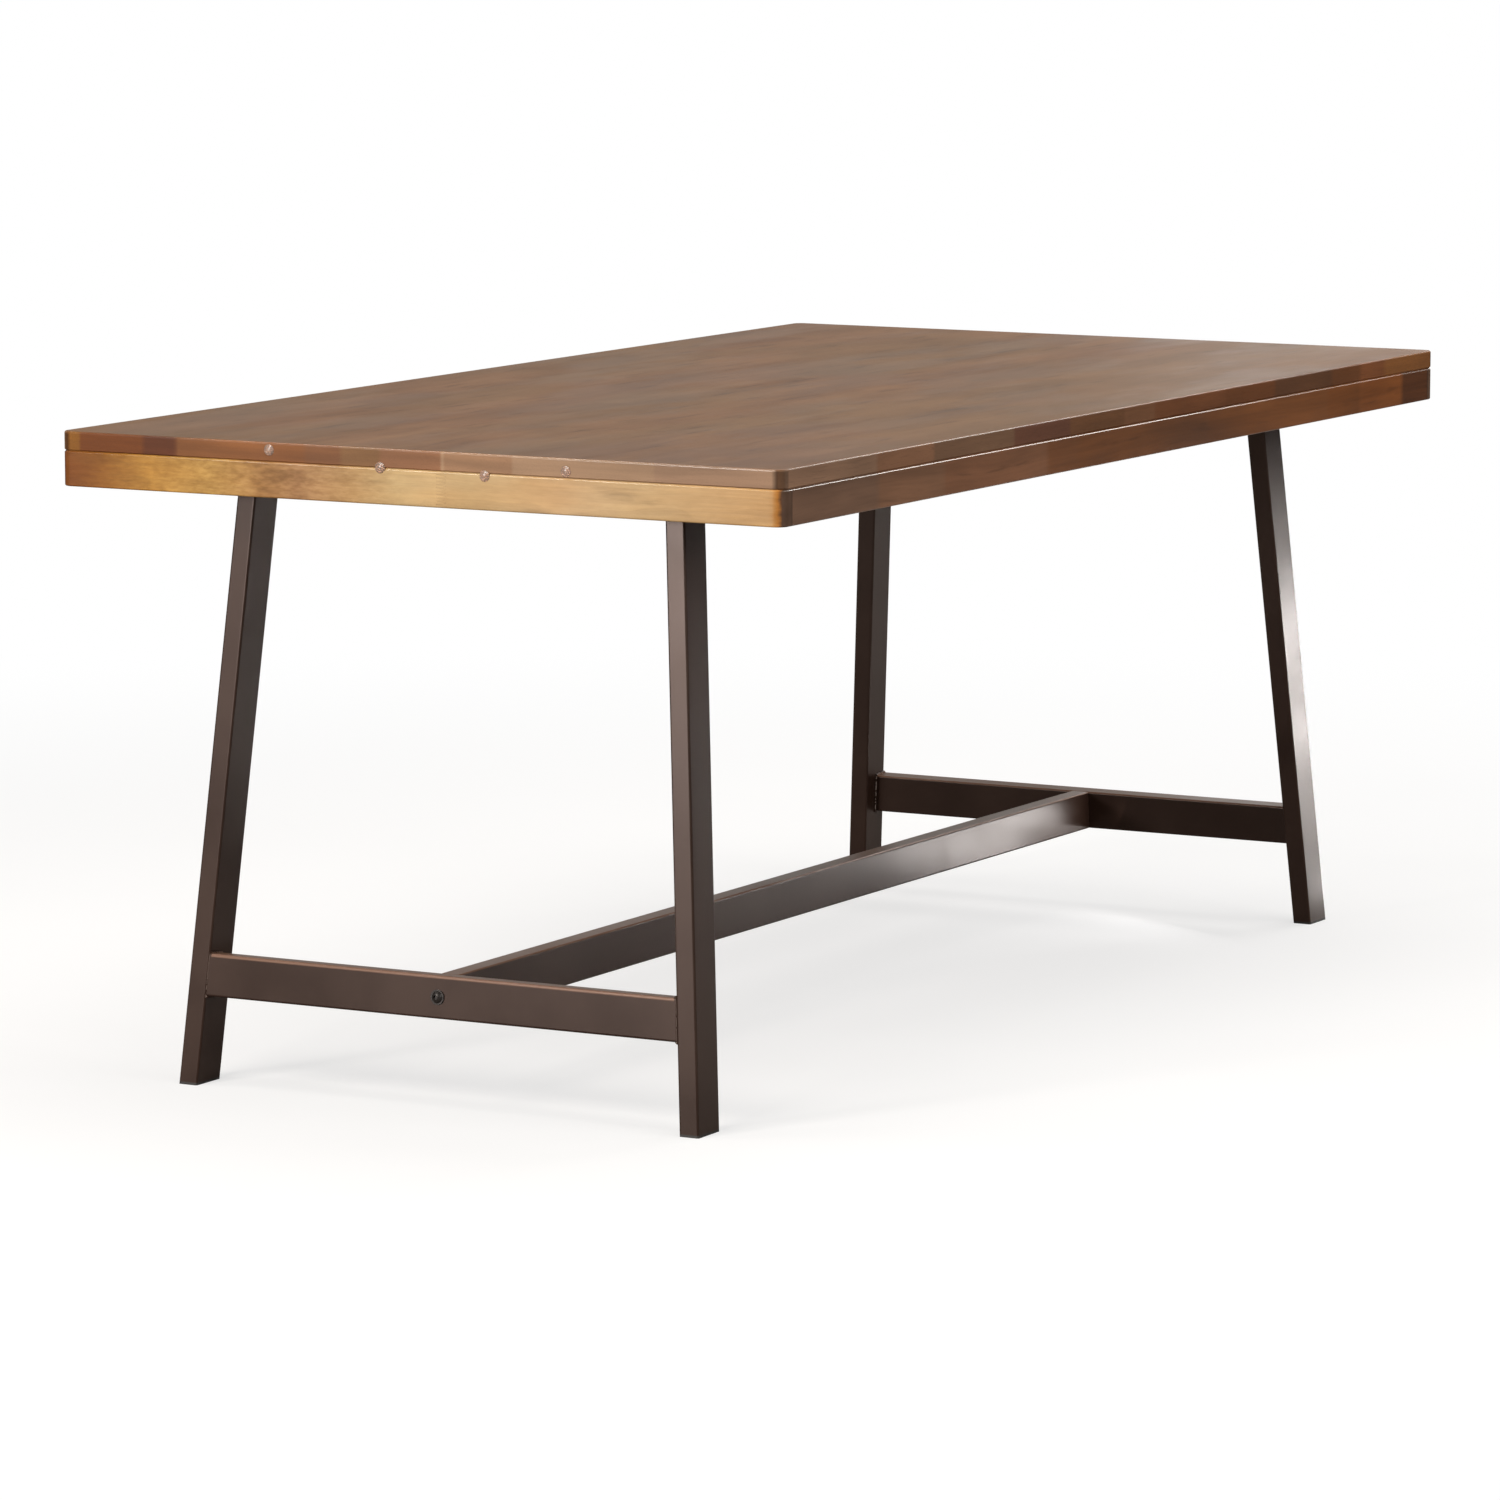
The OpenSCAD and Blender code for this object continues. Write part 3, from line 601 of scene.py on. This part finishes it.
# growth rings cut at a slant leave broad, faint, sharp-edged flames
flame = eased(
    honey_tree, cloud(honey_tree, honey_place, (3, 5.5, 26), detail=2, turn=(FLAME_SLANT, 0, 0)), 0.50, 0.525
)
honey_colour = shaded(honey_tree, honey_colour, flame, -0.09, 0.0)
honey_colour = shaded(honey_tree, honey_colour, honey_figure["Streak"], 0.16)
honey_colour = shaded(honey_tree, honey_colour, honey_figure["Fibre"], 0.09)
warm = eased(honey_tree, honey_figure["Cloud"], 0.55, 1.0, 0.0, 0.35)
honey_warmed = mixed(honey_tree, 1.0, honey_colour, (1.0, 0.80, 0.55), "MULTIPLY")
honey_colour = mixed(honey_tree, warm, honey_colour, honey_warmed)
honey_colour = shaded(honey_tree, honey_colour, honey_figure["Mark"], -0.18, 0.0)
honey_across = sum_of(honey_tree, "ABSOLUTE", honey_xyz[1])
stained_side = near_edge(honey_tree, honey_across, half_w, STAIN_FROM, STAIN_FULL)
side_of_end = mixed(honey_tree, honey_figure["Cloud"], (0.080, 0.044, 0.028), (0.130, 0.074, 0.046))
side_of_end = shaded(honey_tree, side_of_end, honey_figure["Streak"], 0.15)
honey_colour = mixed(honey_tree, stained_side, honey_colour, side_of_end)
honey_rough = eased(honey_tree, honey_figure["Cloud"], 0.0, 1.0, 0.36, 0.45)
honey_lip = near_edge(honey_tree, honey_xyz[2], slab_low, LIP_FROM, LIP_FULL)
# painted highlight: the upper lip is painted lighter, besides its lacquer shining more
honey_colour = shaded(honey_tree, honey_colour, honey_lip, 0.25, 0.0)
honey_shader.inputs["Specular IOR Level"].default_value = 0.25
honey_shader.inputs["Coat Roughness"].default_value = 0.16
honey_tree.links.new(honey_lip, honey_shader.inputs["Coat Weight"])
feed_shader(honey_tree, honey_shader, honey_colour, honey_rough, wood_bump(honey_tree, honey_figure))
coat(end_board_names, honey)

# the glue in the finger joint: a thin zigzag skin, wiped off just under the face
glue, glue_tree, glue_shader, glue_place = new_material("joint_glue", (0.3, 0.17, 0.07))
glue_tone = cloud(glue_tree, glue_place, (60, 60, 240), detail=3)
glue_tree.links.new(
    mixed(glue_tree, eased(glue_tree, glue_tone, 0.3, 0.7), (0.22, 0.11, 0.040), (0.34, 0.19, 0.080)),
    glue_shader.inputs["Base Color"],
)
glue_tree.links.new(eased(glue_tree, glue_tone, 0.3, 0.7, 0.45, 0.60), glue_shader.inputs["Roughness"])
GLUE_T, GLUE_DEEP, GLUE_ASIDE = 0.00018, 0.0192, 0.00016
GLUE_UNDER, GLUE_SHORT = 0.0002, 0.0024
bm = bmesh.new()
glue_line = []
half = finger_pitch / 2
for k in range(FINGER_N):
    z = band_low + k * finger_pitch
    for side, up in ((0.5, 0.0), (0.5, FINGER_TIP), (-0.5, half), (-0.5, half + FINGER_TIP)):
        glue_line.append((-half_l + GLUE_UNDER, FINGER_Y + side * FINGER_L, z + up))
glue_line = [p for p in glue_line if band_low + GLUE_SHORT < p[2] < slab_low - GLUE_SHORT]
glue_verts = [bm.verts.new(p) for p in glue_line]
glue_edges = [bm.edges.new(ends) for ends in zip(glue_verts, glue_verts[1:])]
grown = bmesh.ops.extrude_edge_only(bm, edges=glue_edges)["geom"]
bmesh.ops.translate(bm, verts=[v for v in grown if isinstance(v, bmesh.types.BMVert)], vec=(GLUE_DEEP, 0, 0))
bmesh.ops.translate(bm, verts=bm.verts, vec=(0, GLUE_ASIDE, 0))
bmesh.ops.recalc_face_normals(bm, faces=bm.faces)
bmesh.ops.solidify(bm, geom=bm.faces[:], thickness=GLUE_T)
bmesh.ops.recalc_face_normals(bm, faces=bm.faces)
glue_piece = finished("finger_joint_glue", bm, glue, smooth=False)
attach(glue_piece, "root")

# ---------------------------------------------------------------------------
# Edge band, side boards: the same hardwood with its grain along the table,
# stained like the slab and butted against the end boards.
# ---------------------------------------------------------------------------
band, band_tree, band_shader, band_place = new_material("stained_band", (0.12, 0.06, 0.03))
band_xyz = xyz_of(band_tree, band_place)
SEAM_FROM, SEAM_FULL = 0.0222, 0.0214
band_moved = node(
    band_tree, "ShaderNodeMapping", {"Vector": band_place, "Location": (3.1, 1.7, 0.4)}
).outputs[0]
band_figure = use_group(band_tree, figure, {"Vector": band_moved}).outputs
band_tones = tone_run(band_tree, band_xyz[0], -half_l, half_l, hard_stops([
    (-half_l, (0.140, 0.078, 0.049)), (-0.674, (0.168, 0.084, 0.046)), (-0.512, (0.165, 0.074, 0.037)),
    (-0.246, (0.145, 0.056, 0.021)), (-0.163, (0.145, 0.054, 0.018)), (0.200, (0.150, 0.053, 0.015)),
    (0.559, (0.150, 0.050, 0.012)), (0.660, (0.190, 0.062, 0.015)), (0.795, (0.078, 0.027, 0.009)),
], 0.006))
band_colour = shaded(band_tree, band_tones, band_figure["Cloud"], 0.42)
band_colour = shaded(band_tree, band_colour, band_figure["Streak"], 0.30)
band_colour = shaded(band_tree, band_colour, band_figure["Mark"], -0.25, 0.0)
band_colour = shaded(band_tree, band_colour, band_figure["Fibre"], 0.10)
# lacquer shines along the upper lip, and a thin dark seam shows where the board meets the end boards
band_lip = near_edge(band_tree, band_xyz[2], slab_low, LIP_FROM, LIP_FULL)
band_along = sum_of(band_tree, "ABSOLUTE", band_xyz[0])
band_seam = near_edge(band_tree, band_along, half_l, SEAM_FROM, SEAM_FULL)
band_colour = shaded(band_tree, band_colour, band_seam, -0.65, 0.0)
# painted highlight: the upper lip is painted lighter too
band_colour = shaded(band_tree, band_colour, band_lip, 0.3, 0.0)
band_rough = eased(band_tree, band_figure["Cloud"], 0.0, 1.0, 0.36, 0.45)
band_shader.inputs["Specular IOR Level"].default_value = 0.24
band_shader.inputs["Coat Roughness"].default_value = 0.16
band_tree.links.new(sum_of(band_tree, "MULTIPLY", band_lip, 0.6), band_shader.inputs["Coat Weight"])
feed_shader(band_tree, band_shader, band_colour, band_rough, wood_bump(band_tree, band_figure))
coat(["band_left", "band_right"], band)

# ---------------------------------------------------------------------------
# Mounting screws, washers and threaded inserts: zinc-plated steel screws and
# washers, and die-cast brass inserts driven into the underside of the slab.
# ---------------------------------------------------------------------------
coat(["mounting_screws", "screw_washers"], zinc)
brass, brass_tree, brass_shader, brass_place = new_material("insert_brass", (0.55, 0.38, 0.16))
brass_skin = use_group(brass_tree, skin, {"Vector": brass_place, "Peel": 1500.0, "Strength": 0.2})
brass_tone = eased(brass_tree, brass_skin.outputs["Peel"], 0.3, 0.75)
brass_shader.inputs["Metallic"].default_value = 1.0
brass_colour = mixed(brass_tree, brass_tone, (0.42, 0.27, 0.10), (0.66, 0.47, 0.22))
brass_rough = eased(brass_tree, brass_skin.outputs["Mottle"], 0.25, 0.75, 0.3, 0.45)
feed_shader(brass_tree, brass_shader, brass_colour, brass_rough, brass_skin.outputs["Normal"])
coat(["threaded_inserts"], brass)

# ---------------------------------------------------------------------------
# Edge bumpers: clear polyurethane domes with an adhesive back, stuck on the
# front edge. Each is turned from one outline: a flat back, a small foot and
# a domed face.
# ---------------------------------------------------------------------------
BUMPER_R, BUMPER_H, BUMPER_GAP, BUMPER_FOOT = 0.0065, 0.0022, 0.00004, 0.0004
DOME_STEPS, DOME_TURNS = 12, 48
dome_r = (BUMPER_R**2 + (BUMPER_H - BUMPER_FOOT) ** 2) / (2 * (BUMPER_H - BUMPER_FOOT))
dome_reach = math.asin(BUMPER_R / dome_r)
clear, clear_tree, clear_shader, clear_place = new_material("clear_plastic", (0.85, 0.75, 0.66))
clear_dust = cloud(clear_tree, clear_place, (900, 900, 900), detail=2)
clear_shader.inputs["Base Color"].default_value = (0.80, 0.61, 0.50, 1.0)
clear_shader.inputs["Transmission Weight"].default_value = 0.78
clear_shader.inputs["IOR"].default_value = 1.47
clear_tree.links.new(eased(clear_tree, clear_dust, 0.3, 0.8, 0.18, 0.28), clear_shader.inputs["Roughness"])
for i in range(1, 5):
    name = f"edge_bumper_{i}"
    low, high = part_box(name)
    centre = (low + high) / 2
    bm = bmesh.new()
    # out from the front edge, and from the dome's own middle
    outline = [
        (BUMPER_GAP, 0.0), (BUMPER_GAP, BUMPER_R - 0.0003),
        (0.0001, BUMPER_R - 0.0001), (BUMPER_FOOT, BUMPER_R),
    ]
    for k in range(1, DOME_STEPS):
        a = dome_reach * (1 - k / DOME_STEPS)
        outline.append((BUMPER_H - dome_r * (1 - math.cos(a)), dome_r * math.sin(a)))
    outline.append((BUMPER_H, 0.0))
    spots = [bm.verts.new((high.x - h, centre.y, centre.z + r)) for h, r in outline]
    for a, b in zip(spots, spots[1:]):
        bm.edges.new((a, b))
    bmesh.ops.spin(
        bm, geom=bm.verts[:] + bm.edges[:], cent=(0, centre.y, centre.z), axis=(1, 0, 0),
        angle=2 * math.pi, steps=DOME_TURNS, use_merge=True,
    )
    bmesh.ops.remove_doubles(bm, verts=bm.verts, dist=1e-6)
    bmesh.ops.recalc_face_normals(bm, faces=bm.faces)
    dome = finished(f"clear_bumper_{i}", bm, clear)
    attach(dome, "root")
    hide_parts(name)

# ---------------------------------------------------------------------------
# Studio: a pale floor that runs off into white, and soft boxes above and all
# round the table. Four small ones stand low towards the rear right, to shine
# in the stretcher and the rear right leg.
# ---------------------------------------------------------------------------
bpy.context.scene.view_settings.view_transform = "Standard"
FLOOR_R = 60.0
FADE_NEAR, FADE_FAR, GLOW_NEAR = 0.9, 3.6, 0.66
floor_material = bpy.data.materials.new("floor")
floor_material.use_nodes = True
floor_tree = floor_material.node_tree
floor_tree.nodes.clear()
floor_place = floor_tree.nodes.new("ShaderNodeTexCoord").outputs["Object"]
floor_far = node(floor_tree, "ShaderNodeVectorMath", {0: floor_place}, operation="LENGTH").outputs["Value"]
is_seen = floor_tree.nodes.new("ShaderNodeLightPath").outputs["Is Camera Ray"]
floor_grain = cloud(floor_tree, floor_place, (3, 3, 3), detail=3)
floor_white = mixed(floor_tree, floor_grain, (0.86, 0.86, 0.86), (0.89, 0.89, 0.89))
floor_seen = node(floor_tree, "ShaderNodeBsdfDiffuse", {0: floor_white})
floor_bounce = node(floor_tree, "ShaderNodeBsdfDiffuse", {0: (0.30, 0.27, 0.25, 1)})
floor_glow = node(floor_tree, "ShaderNodeEmission", {0: (1, 1, 1, 1), 1: 1.0})
floor_share = eased(floor_tree, floor_far, FADE_NEAR, FADE_FAR, GLOW_NEAR, 1.0)
floor_fade = node(
    floor_tree, "ShaderNodeMixShader", {0: floor_share, 1: floor_seen.outputs[0], 2: floor_glow.outputs[0]}
)
floor_all = node(
    floor_tree, "ShaderNodeMixShader", {0: is_seen, 1: floor_bounce.outputs[0], 2: floor_fade.outputs[0]}
)
floor_out = floor_tree.nodes.new("ShaderNodeOutputMaterial")
floor_tree.links.new(floor_all.outputs[0], floor_out.inputs[0])
bm = bmesh.new()
bmesh.ops.create_circle(bm, cap_ends=True, segments=96, radius=FLOOR_R)
floor = finished("floor", bm, floor_material, smooth=False)

world = bpy.data.worlds.new("studio")
bpy.context.scene.world = world
world.use_nodes = True
world_tree = world.node_tree
world_tree.nodes.clear()
world_seen = node(world_tree, "ShaderNodeBackground", {0: (1, 1, 1, 1), 1: 1.0})
world_fill = node(world_tree, "ShaderNodeBackground", {0: (1.0, 0.96, 0.92, 1), 1: 0.10})
world_ray = world_tree.nodes.new("ShaderNodeLightPath").outputs["Is Camera Ray"]
world_mix = node(
    world_tree, "ShaderNodeMixShader", {0: world_ray, 1: world_fill.outputs[0], 2: world_seen.outputs[0]}
)
world_out = world_tree.nodes.new("ShaderNodeOutputWorld")
world_tree.links.new(world_mix.outputs[0], world_out.inputs[0])

for name, place, target, size, power, beam, colour in (
    ("overhead", (0.9, -0.45, 3.5), (0.2, 0.0, 0.7), (2.8, 2.4), 72, 180, (1.0, 0.97, 0.93)),
    ("front_key", (-4.2, 0.6, 3.0), (-0.9, 0.0, 0.7), (2.2, 1.8), 145, 180, (1.0, 0.94, 0.87)),
    ("front_left", (-5.6, 2.3, 1.55), (-0.8, -0.2, 0.7), (1.9, 1.5), 24, 180, (1.0, 0.90, 0.85)),
    ("right_fill", (-0.6, -5.4, 2.7), (0.0, 0.0, 0.6), (3.2, 2.0), 130, 180, (1.0, 0.97, 0.93)),
    ("low_far", (5.0, -2.3, 0.075), (0.85, -0.345, 0.2), (0.8, 0.13), 0.20, 12, (1.0, 0.98, 0.97)),
    ("low_near", (1.24, -0.38, 0.008), (1.24, -0.38, 1.0), (0.36, 0.10), 1.9, 180, (1.0, 0.98, 0.97)),
    ("low_middle", (0.735, -0.19, 0.075), (0.39, -0.0125, 0.13), (0.19, 0.05), 0.14, 180, (1.0, 0.98, 0.97)),
    ("leg_sheen", (-5.6, 1.98, 1.22), (-0.86, -0.3, 0.6), (0.75, 0.6), 96, 180, (1.0, 0.94, 0.91)),
    ("right_front", (-4.5, -5.5, 2.4), (0.0, 0.0, 0.6), (2.4, 1.8), 45, 180, (1.0, 0.96, 0.92)),
    ("low_inner", (0.80, -0.115, 0.122), (0.3, 0.12, 0.18), (0.12, 0.03), 0.08, 180, (1.0, 0.98, 0.97)),
    ("rear_high", (5.4, -1.3, 3.7), (0.2, -0.45, 0.74), (2.6, 1.0), 105, 180, (1.0, 0.97, 0.94)),
    ("left_high", (-1.4, 1.75, 3.8), (-0.9, 0.0, 0.74), (0.9, 0.8), 30, 180, (1.0, 0.95, 0.89)),
    ("rear_wide", (5.6, 2.9, 1.5), (0.3, 0.1, 0.76), (3.4, 1.4), 7.0, 180, (0.92, 1.0, 1.0)),
    ("rear_sheen", (5.6, 0.9, 1.25), (0.4, -0.2, 0.76), (2.4, 0.9), 10, 180, (1.0, 0.97, 0.95)),
):
    lamp = bpy.data.lights.new(name, "AREA")
    lamp.shape = "RECTANGLE"
    lamp.size, lamp.size_y = size
    lamp.energy, lamp.color, lamp.spread = power, colour, math.radians(beam)
    box = bpy.data.objects.new(name, lamp)
    box.location = place
    box.rotation_mode = "QUATERNION"
    box.rotation_quaternion = (Vector(target) - Vector(place)).to_track_quat("-Z", "Y")
    box.visible_camera = False
    bpy.context.scene.collection.objects.link(box)
